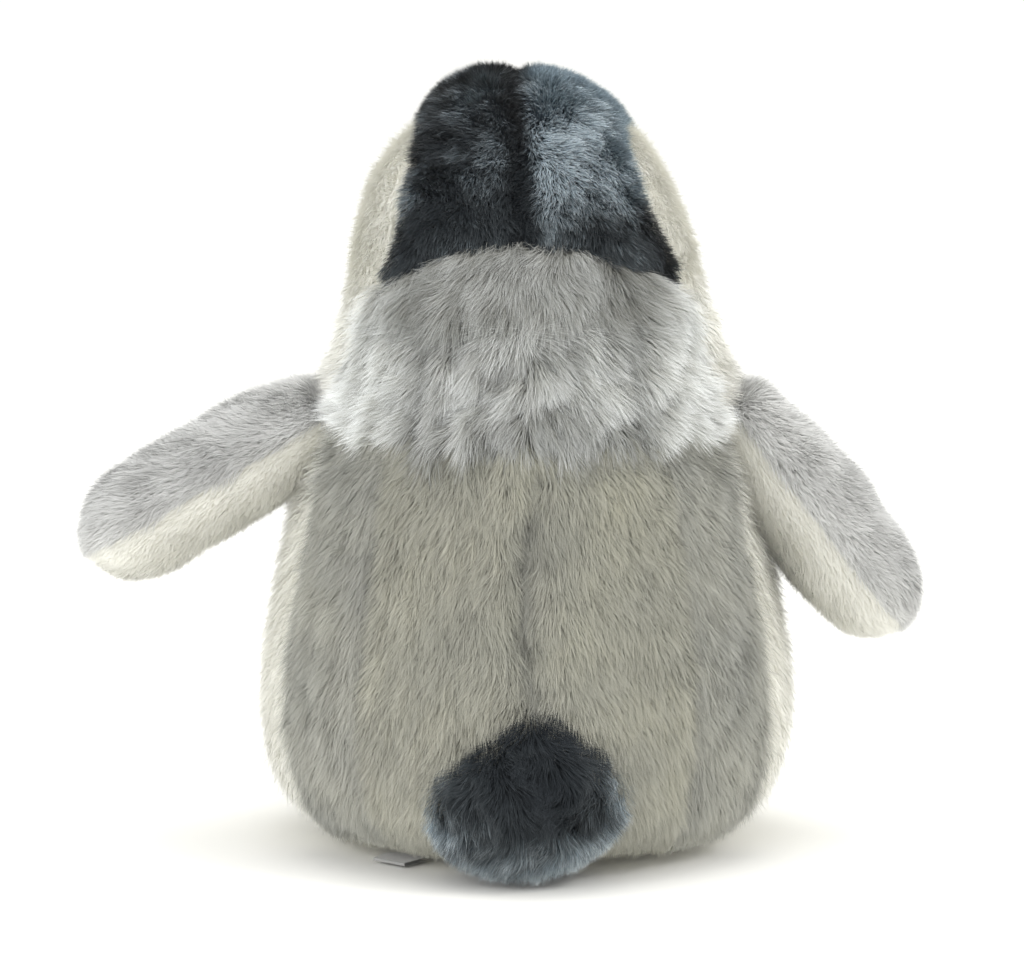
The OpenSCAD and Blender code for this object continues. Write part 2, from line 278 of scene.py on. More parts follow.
def comb(place, normal, flow, length, lean, lift, clump, ruffle, seed):
    """The lines of the strands: each leaves the cloth at lean[0] radians above it and ends at lean[1], both
    raised by lift, and follows flow, drawn together in tufts by clump and turned aside by ruffle. Gives root,
    bend and tip."""
    rng = np.random.default_rng(seed)
    n = len(place)
    flow = unit(flow - normal * (flow * normal).sum(1)[:, None])
    side = np.cross(normal, flow)
    slow, quick = waves(place, 26 * mm, seed + 1), waves(place, 8 * mm, seed + 2)
    turn = ruffle * (0.7 * slow + 0.5 * quick) + rng.normal(0, 0.24, n)
    flow = flow * np.cos(turn)[:, None] + side * np.sin(turn)[:, None]
    length = length * rng.uniform(0.7, 1.12, n)
    tilt = rng.normal(0, 0.17, n) + 0.12 * waves(place, 12 * mm, seed + 3) + lift
    points = [place - normal * 0.4 * mm]
    for angle, share in zip(lean, (0.45, 0.55)):
        a = np.clip(angle + tilt, 0.02, 1.5)[:, None]
        points.append(points[-1] + (flow * np.cos(a) + normal * np.sin(a)) * (length * share)[:, None])
    if clump > 0:
        wobble = np.column_stack([waves(place, 6 * mm, seed + 4 + k) for k in range(3)]) * 0.6 * mm
        cell = np.floor((place + wobble) / (1.5 * mm)).astype(np.int64)
        key = cell @ np.array([1, 4099, 16777259])
        _, group, size = np.unique(key, return_inverse=True, return_counts=True)
        tip = np.column_stack([np.bincount(group, points[2][:, k]) for k in range(3)]) / size[:, None]
        pull = (tip[group] - points[2]) * clump * rng.uniform(0.4, 1.2, n)[:, None]
        points[1] = points[1] + pull * 0.35
        points[2] = points[2] + pull
    return points


def weave_fur(name, skin, keep, points, normal, tone, width, seed, floor_gap=0.3 * mm):
    """One piece of fur fabric: the backing cloth of the kept triangles, and for each strand a blade that is
    widest at its bend."""
    rng = np.random.default_rng(seed)
    n = len(tone)
    roll = rng.normal(0, 0.5, n)[:, None]
    ahead = unit(points[2] - points[0])
    across = unit(np.cross(ahead, normal))
    up = np.cross(across, ahead)
    edge = (across * np.cos(roll) + up * np.sin(roll)) * (width / 2)
    shade = unit(normal + 0.35 * up + 0.12 * across * rng.normal(0, 1, n)[:, None])
    blade_co = np.stack([points[0], points[1] - edge, points[1] + edge, points[2]], 1).reshape(-1, 3)
    blade_no = np.repeat(shade, 4, axis=0)
    blade_co[:, 2] = np.maximum(blade_co[:, 2], floor_gap)
    used, cloth_tris = np.unique(skin.tris[keep], return_inverse=True)
    cloth_tris = cloth_tris.reshape(-1, 3)
    base = len(used) + 4 * np.arange(n)[:, None]
    mesh = bpy.data.meshes.new(name)
    mesh.vertices.add(len(used) + len(blade_co))
    mesh.vertices.foreach_set("co", np.concatenate([skin.co[used], blade_co]).ravel())
    corners = np.concatenate([cloth_tris, base + [0, 2, 1], base + [1, 2, 3]]).ravel()
    mesh.loops.add(len(corners))
    mesh.loops.foreach_set("vertex_index", corners)
    mesh.polygons.add(len(corners) // 3)
    mesh.polygons.foreach_set("loop_start", np.arange(0, len(corners), 3))
    mesh.polygons.foreach_set("use_smooth", np.ones(len(corners) // 3, bool))
    along = np.array([0.05, 0.5, 0.5, 0.98])
    wide = np.array([0.0, -1, 1, 0.0]) * 0.005
    blade_u = tone[:, None] * 0.98 + 0.01 + wide
    blade_uv = np.stack([blade_u, np.broadcast_to(along, (n, 4))], 2).reshape(-1, 2)
    cloth_uv = np.column_stack([0.3 + 20 * (skin.co[used, 0] % 0.01), 0.25 + 5 * (skin.co[used, 2] % 0.01)])
    point_uv = np.concatenate([cloth_uv, blade_uv])
    mesh.uv_layers.new(name="OFBake")
    mesh.uv_layers["OFBake"].data.foreach_set("uv", point_uv[corners].ravel())
    mesh.update()
    given = mesh.attributes.new("custom_normal", "FLOAT_VECTOR", "POINT")
    normals = np.concatenate([skin.normals[used], blade_no])
    given.data.foreach_set("vector", normals.astype(np.float32).ravel())
    mesh.validate()
    piece = bpy.data.objects.new(name, mesh)
    bpy.context.scene.collection.objects.link(piece)
    return piece


def all_of(laid):
    return np.ones(len(laid))


def none_of(laid):
    return np.zeros(len(laid))


def cover(skin, tri_part, part, fabric, flow, tone, seed, body, shorten=all_of, lift=none_of, bald=none_of):
    """Sews one panel, with a fifth of its strands straying from the lie. The fabric is (dye, slot, strands per
    mm2, length in mm, lean at root and tip, tufting, ruffle). flow, tone, shorten, lift and bald are worked out
    from where each root was laid; bald leaves roots out."""
    dye, slot, per_mm2, length, lean, clump, ruffle = fabric
    keep = tri_part == part
    place, normal, laid = skin.roots(per_mm2, keep, seed)
    stay = bald(laid) < 0.5
    place, normal, laid = place[stay], normal[stay], laid[stay]
    rng = np.random.default_rng(seed + 9)
    long = length * mm * shorten(laid)
    stray = rng.uniform(size=len(laid)) < 0.2
    rise = lift(laid) + stray * rng.uniform(0.3, 0.9, len(laid))
    points = comb(place, normal, flow(laid, normal), long, lean, rise, clump, ruffle, seed)
    shade = 0.5 + 0.12 * waves(laid, 30 * mm, seed + 5) + 0.06 * waves(laid, 6 * mm, seed + 6)
    shade += rng.normal(0, 0.09, len(laid)) + tone(laid)
    width = strand_width * rng.uniform(0.7, 1.3, (len(laid), 1)) * np.where(stray, 0.6, 1.0)[:, None]
    piece = weave_fur(part + "_fur", skin, keep, points, normal, np.clip(shade, 0, 1), width, seed + 7)
    piece.data.materials.append(dye)
    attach(piece, body)
    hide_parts(part)


strand_width = 0.17 * mm


class Socket:
    """A value in a material, so that sums on it read as they are written."""

    def __init__(self, tree, out):
        self.tree = tree
        self.out = out

    def sum(self, kind, other, flip=False):
        pair = [other, self] if flip else [self, other]
        return node(self.tree, "ShaderNodeMath", {"operation": kind}, {0: pair[0], 1: pair[1]})

    def __add__(self, other):
        return self.sum("ADD", other)

    __radd__ = __add__

    def __mul__(self, other):
        return self.sum("MULTIPLY", other)

    __rmul__ = __mul__

    def __sub__(self, other):
        return self.sum("SUBTRACT", other)

    def __rsub__(self, other):
        return self.sum("SUBTRACT", other, flip=True)


def node(tree, kind, settings, inputs, out=0):
    """Adds a node: its settings first, then the values or links of its sockets."""
    made = tree.nodes.new(kind)
    for key, value in settings.items():
        if key == "stops":
            ramp = made.color_ramp
            while len(ramp.elements) < len(value):
                ramp.elements.new(0.5)
            for stop, (place, colour) in zip(ramp.elements, value):
                stop.position = place
                stop.color = (*colour, 1)
        else:
            setattr(made, key, value)
    for key, value in inputs.items():
        if isinstance(value, Socket):
            tree.links.new(value.out, made.inputs[key])
        else:
            made.inputs[key].default_value = value
    return Socket(tree, made.outputs[out])


def finish_material(name, roughness, **shader_values):
    """A new material, its tree and its shader, on which values that are the same all over are set."""
    material = bpy.data.materials.new(name)
    material.use_nodes = True
    tree = material.node_tree
    shader = tree.nodes["Principled BSDF"]
    shader.inputs["Roughness"].default_value = roughness
    for key, value in shader_values.items():
        shader.inputs[key.replace("_", " ")].default_value = value
    return material, tree, shader


def ramp(tree, stops, along):
    return node(tree, "ShaderNodeValToRGB", {"stops": stops}, {0: along})


def fur_dye(name, stops, dark, light, sheen=0.35):
    """Pile: stops are its colours from root to tip; dark and light say how far strands differ."""
    material, tree, shader = finish_material(
        name, 0.62, Sheen_Weight=sheen, Sheen_Roughness=0.45, Specular_IOR_Level=0.25
    )
    place = node(tree, "ShaderNodeUVMap", {"uv_map": "OFBake"}, {})
    split = tree.nodes.new("ShaderNodeSeparateXYZ")
    tree.links.new(place.out, split.inputs[0])
    tone, along = Socket(tree, split.outputs[0]), Socket(tree, split.outputs[1])
    dye = ramp(tree, stops, along)
    shade = ramp(tree, [(0.0, dark), (0.5, (1, 1, 1)), (1.0, light)], tone)
    multiply = {"data_type": "RGBA", "blend_type": "MULTIPLY"}
    colour = node(tree, "ShaderNodeMix", multiply, {0: 1.0, 6: dye, 7: shade}, out=2)
    tree.links.new(colour.out, shader.inputs["Base Color"])
    return material


trunk_skin_depth = 3.2 * mm
trunk_profile = sack_profile(0.0, 1.985, trunk_skin_depth, 84)
trunk_profile[:, 1] = np.maximum(trunk_profile[:, 1], 3.0 * mm)
trunk_sack = sew_sack("trunk_sack", trunk_profile, 180)
trunk_laid = coordinates(trunk_sack.data)


def wander(z):
    """How far the hand-sewn spine seam strays to the side at each height."""
    return (1.6 * np.sin(z / (11 * mm)) + 1.2 * np.sin(z / (5.3 * mm) + 1.0)) * mm


def trunk_seams(p):
    """How strongly each point is held by a seam, and how far that seam is drawn in."""
    a, z = from_spine(p), p[:, 2]
    round_it = np.hypot(p[:, 0], p[:, 1])
    above_tail = step(z, 30 * mm, 50 * mm)
    in_back = (1 - step(z, yoke_z - 4 * mm, yoke_z + 2 * mm)) * above_tail
    in_yoke = step(z, yoke_z - 2 * mm, yoke_z + 8 * mm)
    low = 1 - step(z, 95 * mm, 125 * mm)
    spine = ridge(a * round_it - wander(z), 3.5 * mm) * in_back * (p[:, 1] > 0)
    darts = ridge((abs(a) - back_seam) * round_it, 3.0 * mm) * low * step(z, 8 * mm, 16 * mm)
    flanks = ridge((abs(a) - side_seam) * round_it, 3.0 * mm) * step(z, 8 * mm, 16 * mm)
    yokes = ridge((abs(a) - yoke_seam) * round_it, 3.5 * mm) * in_yoke
    round_yoke = ridge(z - yoke_z, 3.5 * mm)
    dimples = sum(
        ridge(np.hypot(a * round_it - x * mm, z - h * mm), 9 * mm) * (p[:, 1] > 0)
        for x, h in ((-2, 97), (1, 74))
    )
    hold = np.maximum.reduce([spine, darts * 0.8, flanks, yokes, round_yoke * 0.7])
    draw = (
        spine * 3.0 + darts * 2.2 + flanks * 1.8 + yokes * 2.4 + round_yoke * 1.0 + dimples * 1.6
    ) * mm
    return hold, draw


trunk_hold, trunk_draw = trunk_seams(trunk_laid)
trunk_flat = (trunk_laid[:, 2] < 8 * mm) | (trunk_laid[:, 2] > neck_z - 4 * mm)
inward = -unit(trunk_laid * [1, 1, 0])
sewn = trunk_laid + inward * trunk_draw[:, None]
trunk_sack.data.vertices.foreach_set("co", sewn.ravel())
trunk_sack.data.update()
stuff(trunk_sack, np.where(trunk_flat, 1.0, trunk_hold), 2.2 * mm, 3.0)
trunk_skin = Skin(trunk_sack, trunk_laid)


def smooth_lumps(skin, seed, size, length):
    """Hand filling is never quite even: slow swells of that size move the cloth in and out."""
    skin.co = skin.co + skin.normals * (waves(skin.laid, length, seed) * size)[:, None]


smooth_lumps(trunk_skin, 11, 0.9 * mm, 60 * mm)


def trunk_part(p):
    """Which panel each point belongs to."""
    a, z = from_spine(p), p[:, 2]
    edge = 0.6 * mm * waves(p, 6 * mm, 21)
    left, turn = a > 0, abs(a) + edge / 150e-3
    part = np.full(len(p), "belly", dtype="U16")
    yoke_edge = yoke_z + 5 * mm + 1.8 * mm * waves(p, 20 * mm, 22)
    part[z + edge > yoke_edge] = "chest"
    back = (turn < side_seam) & (z + edge <= yoke_edge)
    part[back & left] = "side_left"
    part[back & ~left] = "side_right"
    part[back & left & (turn < back_seam)] = "back_left"
    part[back & ~left & (turn < back_seam)] = "back_right"
    high = (turn < side_seam) & (z + edge > yoke_edge)
    part[high & left] = "shoulder_left"
    part[high & ~left] = "shoulder_right"
    part[high & (turn < yoke_seam)] = "yoke"
    part[(z < 8.5 * mm)] = "base"
    return part


dove_fur = fur_dye(
    "dove_fur",
    [
        (0.0, (0.22, 0.215, 0.175)), (0.5, (0.385, 0.38, 0.315)),
        (0.8, (0.46, 0.455, 0.385)), (1.0, (0.58, 0.575, 0.51)),
    ],
    (0.72, 0.73, 0.76), (1.27, 1.25, 1.17),
)
ash_fur = fur_dye(
    "ash_fur",
    [
        (0.0, (0.22, 0.22, 0.185)), (0.5, (0.385, 0.383, 0.335)),
        (0.8, (0.46, 0.46, 0.41)), (1.0, (0.58, 0.585, 0.54)),
    ],
    (0.73, 0.74, 0.77), (1.26, 1.25, 1.20),
)
silver_fur = fur_dye(
    "silver_fur",
    [
        (0.0, (0.125, 0.125, 0.105)), (0.45, (0.29, 0.29, 0.26)),
        (0.75, (0.50, 0.51, 0.49)), (1.0, (0.84, 0.86, 0.86)),
    ],
    (0.55, 0.55, 0.53), (1.5, 1.5, 1.5),
)
cream_fur = fur_dye(
    "cream_fur",
    [(0.0, (0.82, 0.80, 0.70)), (0.5, (0.92, 0.91, 0.83)), (1.0, (0.96, 0.955, 0.90))],
    (0.92, 0.92, 0.90), (1.02, 1.02, 1.02),
)

trunk_fur = {
    "back_left": (dove_fur, "dove_fur", 8.5, 11.5, (0.85, 0.22), 0.13, 0.24),
    "back_right": (dove_fur, "dove_fur", 8.5, 11.5, (0.85, 0.22), 0.13, 0.24),
    "side_left": (ash_fur, "dove_fur", 8.0, 11.5, (0.85, 0.22), 0.13, 0.20),
    "side_right": (ash_fur, "dove_fur", 8.0, 11.5, (0.85, 0.22), 0.13, 0.20),
    "yoke": (silver_fur, "silver_fur", 9.0, 12.5, (1.0, 0.3), 0.24, 0.6),
    "shoulder_left": (silver_fur, "silver_fur", 9.0, 12.5, (1.0, 0.3), 0.24, 0.5),
    "shoulder_right": (silver_fur, "silver_fur", 9.0, 12.5, (1.0, 0.3), 0.24, 0.5),
    "chest": (cream_fur, "cream_fur", 6.0, 10.0, (0.85, 0.25), 0.2, 0.22),
    "belly": (cream_fur, "cream_fur", 2.6, 10.0, (0.85, 0.25), 0.2, 0.22),
    "base": (cream_fur, "cream_fur", 6.0, 6.0, (0.8, 0.3), 0.15, 0.3),
}
trunk_tri_part = trunk_part(trunk_skin.middles())


tail_z, tail_r = 27 * mm, 26 * mm       # middle and size of the tail where it leaves the back


def from_tail(laid):
    """Distance outside the rim of the tail, measured over the back; far away at the front."""
    return np.hypot(laid[:, 0], laid[:, 2] - tail_z) - tail_r + 1.0 * (laid[:, 1] < 0)


def trunk_flow(part):
    """Down the trunk and a little away from the spine, more so on the shoulders; outwards under the base."""
    spread = {"yoke": 0.3, "shoulder_left": 0.6, "shoulder_right": 0.6}.get(part, 0.06)

    def flow(laid, normal):
        outward = unit(laid * [1, 1, 0])
        if part == "base":
            return outward
        away = np.sign(laid[:, 0])[:, None] * np.cross([0.0, 0.0, -1.0], outward)
        parting = 0.3 * waves(laid, 16 * mm, 51) * ridge(laid[:, 0], 12 * mm) * part.startswith("back")
        return np.array([0.0, 0.0, -1.0]) + away * (spread + parting)[:, None]

    return flow


def open_seam(laid):
    """0 on a seam and 1 clear of it: pile is short and shaded where the cloth is drawn in."""
    return 1 - np.clip(trunk_seams(laid)[1] / (3.4 * mm), 0, 1)


def trunk_tone(part):
    frosted_with_painted_light = part in ("yoke", "shoulder_left", "shoulder_right")

    def tone(laid):
        # Painted shade on the drawn-in seams.
        shade = -0.25 * (1 - open_seam(laid))
        # Painted shade: a darker line along the wandering spine seam, low on the back.
        if part.startswith("back"):
            shade -= 0.3 * ridge(laid[:, 0] - wander(laid[:, 2]), 3.5 * mm) * (laid[:, 2] < 112 * mm)
        if frosted_with_painted_light:
            # Painted light on the yoke and shoulders: a painted highlight band at about 149 mm where the pile
            # tips catch the light, painted shade below it where the pile of the neck hangs over, and painted
            # shade along the yoke seams. The outer sides are lighter and the pile is mottled.
            side = step(abs(laid[:, 0]), 24 * mm, 46 * mm)
            band = ridge(laid[:, 2] - 149 * mm, 6 * mm)
            fringe = 1 - step(laid[:, 2] + 8 * mm * side, 130 * mm, 142 * mm)
            seams = ridge(abs(from_spine(laid)) - yoke_seam, 0.12)
            shade += 0.6 * side + 0.3 * band - 0.26 * fringe * (1 - 0.6 * side) - 0.3 * seams
            shade += 0.13 * waves(laid, 13 * mm, 53)
        return shade

    return tone


def trunk_length(part):
    ragged = {"yoke": 0.34, "shoulder_left": 0.2, "shoulder_right": 0.2}.get(part, 0.08)

    def long(laid):
        trimmed = 0.45 + 0.55 * step(laid[:, 2], 8 * mm, 24 * mm)
        return (0.8 + 0.2 * open_seam(laid)) * (1 + ragged * waves(laid, 7 * mm, 54)) * trimmed

    return long


def lapping(laid):
    """Pile stands up where it laps over the tail and over the roots of the flippers."""
    tail = 0.55 * ridge(from_tail(laid) - 3 * mm, 7 * mm) * (laid[:, 2] > tail_z - 5 * mm)
    root = np.hypot(laid[:, 1] / 1.7, laid[:, 2] - shoulder_z) - 13 * mm
    return tail + 0.7 * ridge(root - 3 * mm, 8 * mm) * (abs(laid[:, 0]) > 40 * mm)


def under_cover(laid):
    """Where the tail or the head hides the trunk, and where the trunk hides the underside of the head."""
    at_neck = (abs(laid[:, 2] - neck_z) < 4 * mm) & (np.hypot(laid[:, 0], laid[:, 1]) < neck_r - 9 * mm)
    on_ground = laid[:, 2] < 3.5 * mm
    return at_neck | on_ground | (from_tail(laid) < -5 * mm)


for order, (part, fabric) in enumerate(trunk_fur.items()):
    cover(
        trunk_skin, trunk_tri_part, part, fabric, trunk_flow(part), trunk_tone(part), 100 + 20 * order,
        "trunk", shorten=trunk_length(part), lift=lapping, bald=under_cover,
    )

# ---------------------------------------------------------------- filling of the trunk
# Loose white polyester fibre is blown into the sack until the cover is firm, over a sewn bag of plastic pellets
# that lies on the base and keeps the penguin sitting.
fibre, fibre_tree, fibre_shader = finish_material("fibre_filling", 0.9, Sheen_Weight=0.3)
fibre_place = node(fibre_tree, "ShaderNodeTexCoord", {}, {}, out=3)
fibre_noise = {0: fibre_place, "Scale": 900.0, "Detail": 6.0, "Distortion": 2.0}
fibre_wisps = node(fibre_tree, "ShaderNodeTexNoise", {}, fibre_noise)
fibre_dye = ramp(fibre_tree, [(0.3, (0.80, 0.80, 0.79)), (0.7, (0.95, 0.95, 0.94))], fibre_wisps)
fibre_tree.links.new(fibre_dye.out, fibre_shader.inputs["Base Color"])
fibre_relief = {"Strength": 0.6, "Distance": 0.4 * mm, "Height": fibre_wisps}
fibre_bump = node(fibre_tree, "ShaderNodeBump", {}, fibre_relief)
fibre_tree.links.new(fibre_bump.out, fibre_shader.inputs["Normal"])


def fill(sack, skin, name, body, back=2.0 * mm):
    """The filling takes the shape of its cover, just inside the cloth."""
    sack.data.vertices.foreach_set("co", (skin.co - skin.normals * back).ravel())
    sack.data.update()
    sack.name = name + "_fibre"
    sack.data.name = sack.name
    for group in list(sack.vertex_groups):
        sack.vertex_groups.remove(group)
    sack.data.materials.clear()
    sack.data.materials.append(fibre)
    sack.data.polygons.foreach_set("use_smooth", np.ones(len(sack.data.polygons), bool))
    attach(sack, body)
    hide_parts(name)


fill(trunk_sack, trunk_skin, "body_stuffing", "trunk")

calico, calico_tree, calico_shader = finish_material("calico", 0.85, Specular_IOR_Level=0.2)
calico_place = node(calico_tree, "ShaderNodeTexCoord", {}, {}, out=3)
calico_threads = {0: calico_place, "Scale": 400.0}
calico_weave = node(calico_tree, "ShaderNodeTexWave", {"bands_direction": "DIAGONAL"}, calico_threads)
calico_dye = ramp(calico_tree, [(0.0, (0.72, 0.70, 0.64)), (1.0, (0.86, 0.85, 0.80))], calico_weave)
calico_tree.links.new(calico_dye.out, calico_shader.inputs["Base Color"])
grain, grain_tree, grain_shader = finish_material("pellet_plastic", 0.4)
grain_place = node(grain_tree, "ShaderNodeTexCoord", {}, {}, out=3)
grain_cells = node(grain_tree, "ShaderNodeTexVoronoi", {}, {0: grain_place, "Scale": 330.0})
grain_dye = ramp(grain_tree, [(0.0, (0.80, 0.83, 0.86)), (0.8, (0.35, 0.37, 0.40))], grain_cells)
grain_tree.links.new(grain_dye.out, grain_shader.inputs["Base Color"])


def dress(node_name, material):
    """Gives a part that keeps its sewn or moulded shape its own finish."""
    part = frame["nodes"][node_name]
    part.data.materials.clear()
    part.data.materials.append(material)


dress("pellet_bag", calico)
dress("pellets", grain)

# ---------------------------------------------------------------- tail
# The tail is a short stuffed stub of dark fur, an upper and an under panel sewn round the edge, set in below the
# spine seam. Its pile grows away down and outwards from its point.
slate_fur = fur_dye(
    "slate_fur",
    [
        (0.0, (0.006, 0.0085, 0.011)), (0.45, (0.018, 0.025, 0.030)),
        (0.8, (0.050, 0.060, 0.066)), (1.0, (0.145, 0.157, 0.162)),
    ],
    # The light end, near ten times the dye, is what the painted sheen on the back of the cap reaches.
    (0.34, 0.37, 0.42), (9.6, 9.5, 9.4), sheen=0.12,
)
tail_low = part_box("tail_under")[0]
tail_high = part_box("tail_upper")[1]
tail_mid_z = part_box("tail_upper")[0].z
tail_depth = 4.0 * mm
tail_centre = np.array([0.0, tail_high.y - 26 * mm, tail_mid_z])
bpy.ops.object.select_all(action="DESELECT")
bpy.ops.mesh.primitive_uv_sphere_add(segments=72, ring_count=44, radius=1.0)
tail_sack = bpy.context.object
ball = coordinates(tail_sack.data)
tail_laid = ball * [tail_high.x + 1 * mm, 26 * mm - tail_depth, tail_mid_z - tail_low.z]
peak = step(ball[:, 2], 0.1, 1.0)
tail_laid[:, 0] *= 1 - 0.6 * peak
tail_laid[:, 2] += peak * 6 * mm
tail_laid[:, 0] -= 0.12 * tail_laid[:, 2]
tail_laid += tail_centre
tail_laid[:, 2] = np.maximum(tail_laid[:, 2], 1.5 * mm)
tail_sack.data.vertices.foreach_set("co", tail_laid.ravel())
tail_sack.data.update()
stuff(tail_sack, np.where(tail_laid[:, 1] < tail_centre[1] - 6 * mm, 1.0, 0.0), 1.0 * mm, 2.0)
tail_skin = Skin(tail_sack, tail_laid)
smooth_lumps(tail_skin, 31, 0.6 * mm, 30 * mm)
tail_parting = np.array([-1.0 * mm, tail_high.y - 15 * mm, tail_mid_z + 27 * mm])
tail_core = np.array([-2.0 * mm, tail_high.y - 2 * mm, tail_mid_z + 12 * mm])
tail_tri_part = np.where(tail_skin.middles()[:, 2] > tail_mid_z - 6 * mm, "tail_upper", "tail_under")
tail_fabric = (slate_fur, "slate_fur", 9.0, 10.5, (1.15, 0.6), 0.4, 0.9)


def tail_flow(laid, normal):
    swirl = np.column_stack([waves(laid, 8 * mm, 38 + k) for k in range(3)])
    return unit(laid - tail_parting) + 0.45 * swirl + [0.0, 0.3, -0.25]


def tail_tone(laid):
    from_core = np.linalg.norm(laid - tail_core, axis=1)
    core = 0.12 * step(from_core, 10 * mm, 24 * mm) - 0.55 * ridge(from_core, 18 * mm)
    return core + 0.10 * waves(laid, 9 * mm, 37)


def tail_length(laid):
    """Short where the tail leaves the back, so that the pile of the back laps over it."""
    clear = laid[:, 1] - np.sqrt(np.maximum(hip_r**2 - laid[:, 0] ** 2, 0)) * 0.93
    return 0.45 + 0.55 * step(clear, 0.0, 8 * mm)


for order, part in enumerate(("tail_upper", "tail_under")):
    cover(
        tail_skin, tail_tri_part, part, tail_fabric, tail_flow, tail_tone, 400 + 20 * order, "trunk",
        shorten=tail_length,
    )
fill(tail_sack, tail_skin, "tail_stuffing", "trunk")

# ---------------------------------------------------------------- head cover
# The head is sewn from a dark cap in two halves, a silver nape below it and two cream cheeks that meet under the
# beak. The seam over the crown is drawn in and the pile parts along it.
head_profile = sack_profile(2.02, 2.9999, 3.6 * mm, 60)
head_sack = sew_sack("head_sack", head_profile, 144)
head_laid = coordinates(head_sack.data)
cap_arch_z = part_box("nape")[1].z + 1.5 * mm
cap_arch_r = 68 * mm
cap_half_w = 40.5 * mm
cap_top_half_w = 30 * mm
cap_peak = np.array([5 * mm, 45 * mm, 196 * mm])
nape_seam_x = neck_r * math.sin(yoke_seam)
eye_r = 5.5 * mm
eye_turn = math.radians(37)
eye_z = 200 * mm
mouth_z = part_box("beak_upper")[0].z
beak_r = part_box("beak_upper")[1].x


def cap_edge(p):
    """Distance inside the edge of the cap and nape together, and inside the arch under the cap."""
    x, y, z = abs(p[:, 0]), p[:, 1], p[:, 2]
    fall = np.clip((crown_z - z) / (crown_z - cap_arch_z), 0, 1.2)
    half = cap_top_half_w + (cap_half_w - cap_top_half_w) * fall**2
    across = half - x - 2 * mm * (p[:, 0] > 0)
    front = y + cap_peak[1] * np.clip((cap_half_w - x) / (cap_half_w - cap_peak[0]), 0, 1)
    rise = z - neck_z - (cap_peak[2] - neck_z) * np.clip(-y, 0, None) / cap_peak[1]
    inside = np.minimum(across, np.where(y > 0, 1.0, np.minimum(front * 0.7, rise * 0.8)))
    arch = cap_arch_r - np.hypot(p[:, 0], z - (cap_arch_z - cap_arch_r))
    return inside, np.where(y > 0, arch, -1.0)


def head_seams(p):
    inside, arch = cap_edge(p)
    in_cap = arch < 0
    over_arch = step(p[:, 2], cap_arch_z - 6 * mm, cap_arch_z + 4 * mm)
    crown = ridge(p[:, 0], 3.2 * mm) * over_arch * (p[:, 1] > -30 * mm)
    chin = ridge(p[:, 0], 2.5 * mm) * (p[:, 1] < 0) * (p[:, 2] < mouth_z)
    edge = ridge(inside, 2.5 * mm)
    napes = ridge(abs(p[:, 0]) - nape_seam_x, 3 * mm) * (p[:, 1] > 0) * (arch > 0)
    brow = ridge(arch, 3.0 * mm) * (inside > 0)
    hold = np.maximum.reduce([crown, chin, edge * 0.8, brow * 0.8, napes])
    draw = (crown * 3.2 + chin * 1.5 + edge * 1.2 * in_cap + brow * 1.5 + napes * 2.2) * mm
    return hold, draw


def eye_places():
    r, z = outline(2 + math.asin((eye_z - neck_z) / (crown_z - neck_z)) / (math.pi / 2))
    for side in (1, -1):
        yield side, np.array([side * math.sin(eye_turn) * float(r), -math.cos(eye_turn) * float(r), float(z)])


head_hold, head_draw = head_seams(head_laid)
for side, spot in eye_places():
    head_draw += 2.6 * mm * ridge(np.linalg.norm(head_laid - spot, axis=1), 9 * mm)
sewn = head_laid - unit(head_laid - [0, 0, neck_z + 10 * mm]) * head_draw[:, None]
head_sack.data.vertices.foreach_set("co", sewn.ravel())
head_sack.data.update()
stuff(head_sack, np.where(head_laid[:, 2] < neck_z + 3 * mm, 1.0, head_hold), 2.0 * mm, 3.0)
head_skin = Skin(head_sack, head_laid)
smooth_lumps(head_skin, 41, 0.8 * mm, 45 * mm)
behind = step(head_laid[:, 1], -35 * mm, -5 * mm)
head_skin.co[:, 0] += 3.4 * mm * behind * np.clip((head_laid[:, 2] - neck_z) / (crown_z - neck_z), 0, 1)


def head_part(p):
    wander = 0.25 * mm * waves(p, 5 * mm, 43)
    inside, arch = cap_edge(p)
    left = p[:, 0] > 0
    part = np.where(left, "cheek_left", "cheek_right").astype("U16")
    cap = (inside + wander > 0) & (arch + wander <= 0)
    part[cap & left] = "cap_left"
    part[cap & ~left] = "cap_right"
    part[(inside + wander > 0) & (arch + wander > 0)] = "nape"
    return part


head_tri_part = head_part(head_skin.middles())
beak_root = np.array([0.0, -neck_r, mouth_z])


def cap_flow(laid, normal):
    away = np.sign(laid[:, 0])[:, None] * np.array([1.0, 0.0, 0.0])
    return np.array([0.0, 0.75, -1.0]) + away * 0.15


def nape_flow(laid, normal):
    return np.array([0.0, 0.0, -1.0]) + laid * [1, 0, 0] / neck_r * 0.8


def cheek_flow(laid, normal):
    low = 1 - step(laid[:, 2], neck_z + 2 * mm, neck_z + 18 * mm)
    from_beak = unit(laid - beak_root) * (1 - 0.8 * low)[:, None]
    return from_beak + [0.0, 0.35, -0.45] + low[:, None] * [0, 0, -1.0]


def cap_tone(laid):
    """Painted sheen: the back of the right half is painted lighter, most of all near the top, where the light
    from that side glints on the pile; painted shade darkens the crown seam, and the whole cap is a little
    lighter towards the top.
    """
    x, y, z = laid.T
    # Painted shade along the drawn-in crown seam.
    crown_seam_shade = ridge(x, 5 * mm) * step(z, cap_arch_z - 6 * mm, cap_arch_z + 4 * mm)
    # Painted sheen on the back of the right half, strongest near the top, where the light from that side glints
    # on the pile.
    painted_sheen = step(-x, 0.0, 9 * mm) * step(y, -22 * mm, 8 * mm) * (0.09 + 0.75 * step(z, 185 * mm, 212 * mm))
    tufts = 0.06 * waves(laid, 9 * mm, 47) + 0.08 * waves(laid, 3 * mm, 46)
    return 0.8 * tufts - 0.3 * crown_seam_shade + painted_sheen - 0.12 + 0.15 * step(z, 192 * mm, 224 * mm)


